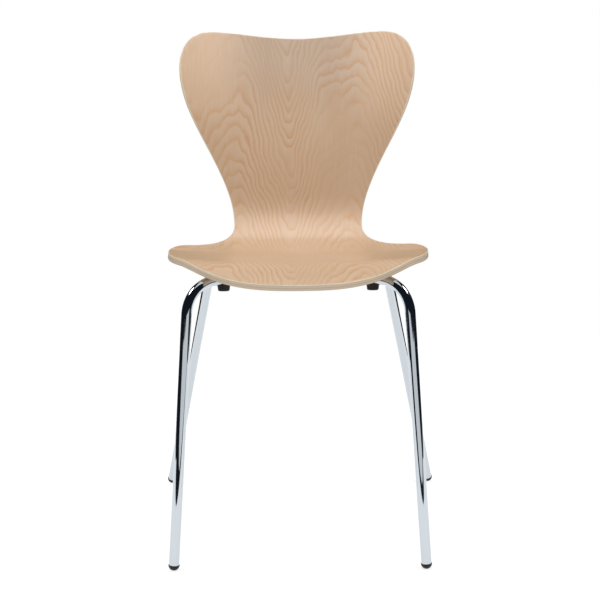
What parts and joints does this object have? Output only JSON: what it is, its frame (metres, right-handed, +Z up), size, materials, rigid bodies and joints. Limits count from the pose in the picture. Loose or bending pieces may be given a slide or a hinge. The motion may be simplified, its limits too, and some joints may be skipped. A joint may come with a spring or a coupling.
{
  "type": "stacking chair",
  "caption": "Stacking chair with a moulded plywood seat and back in one piece on two bent chromed steel tubes that cross under the seat",
  "frame": {"origin": "on the floor, in the middle of the chair's overall width and depth", "axes": "+Z up; the chair faces -Y; +X is to the right as seen from the front"},
  "size_m": [0.5014, 0.4983, 0.8393],
  "materials": {
    "birch_ply": "satin clear lacquer over birch face veneer",
    "chromed_tube": "polished chrome plate",
    "plated_plate": "zinc plated, satin",
    "zinc_hardware": "zinc plated",
    "rubber": "matt",
    "glide_plastic": "moulded, satin"
  },
  "bodies": {
    "root": {"seat_shell": "birch_ply", "front_leg_tube": "chromed_tube", "rear_leg_tube": "chromed_tube", "hub_plate": "plated_plate", "hub_welds": "plated_plate", "spacer_left": "rubber", "spacer_right": "rubber", "spacer_front": "rubber", "spacer_rear": "rubber", "washer_left": "zinc_hardware", "washer_right": "zinc_hardware", "washer_front": "zinc_hardware", "washer_rear": "zinc_hardware", "screw_left": "zinc_hardware", "screw_right": "zinc_hardware", "screw_front": "zinc_hardware", "screw_rear": "zinc_hardware", "tee_nut_left": "zinc_hardware", "tee_nut_right": "zinc_hardware", "tee_nut_front": "zinc_hardware", "tee_nut_rear": "zinc_hardware", "bumper_front_left": "rubber", "bumper_front_right": "rubber", "bumper_rear_left": "rubber", "bumper_rear_right": "rubber", "glide_front_left": "glide_plastic", "glide_front_right": "glide_plastic", "glide_rear_left": "glide_plastic", "glide_rear_right": "glide_plastic"}
  },
  "joints": []
}
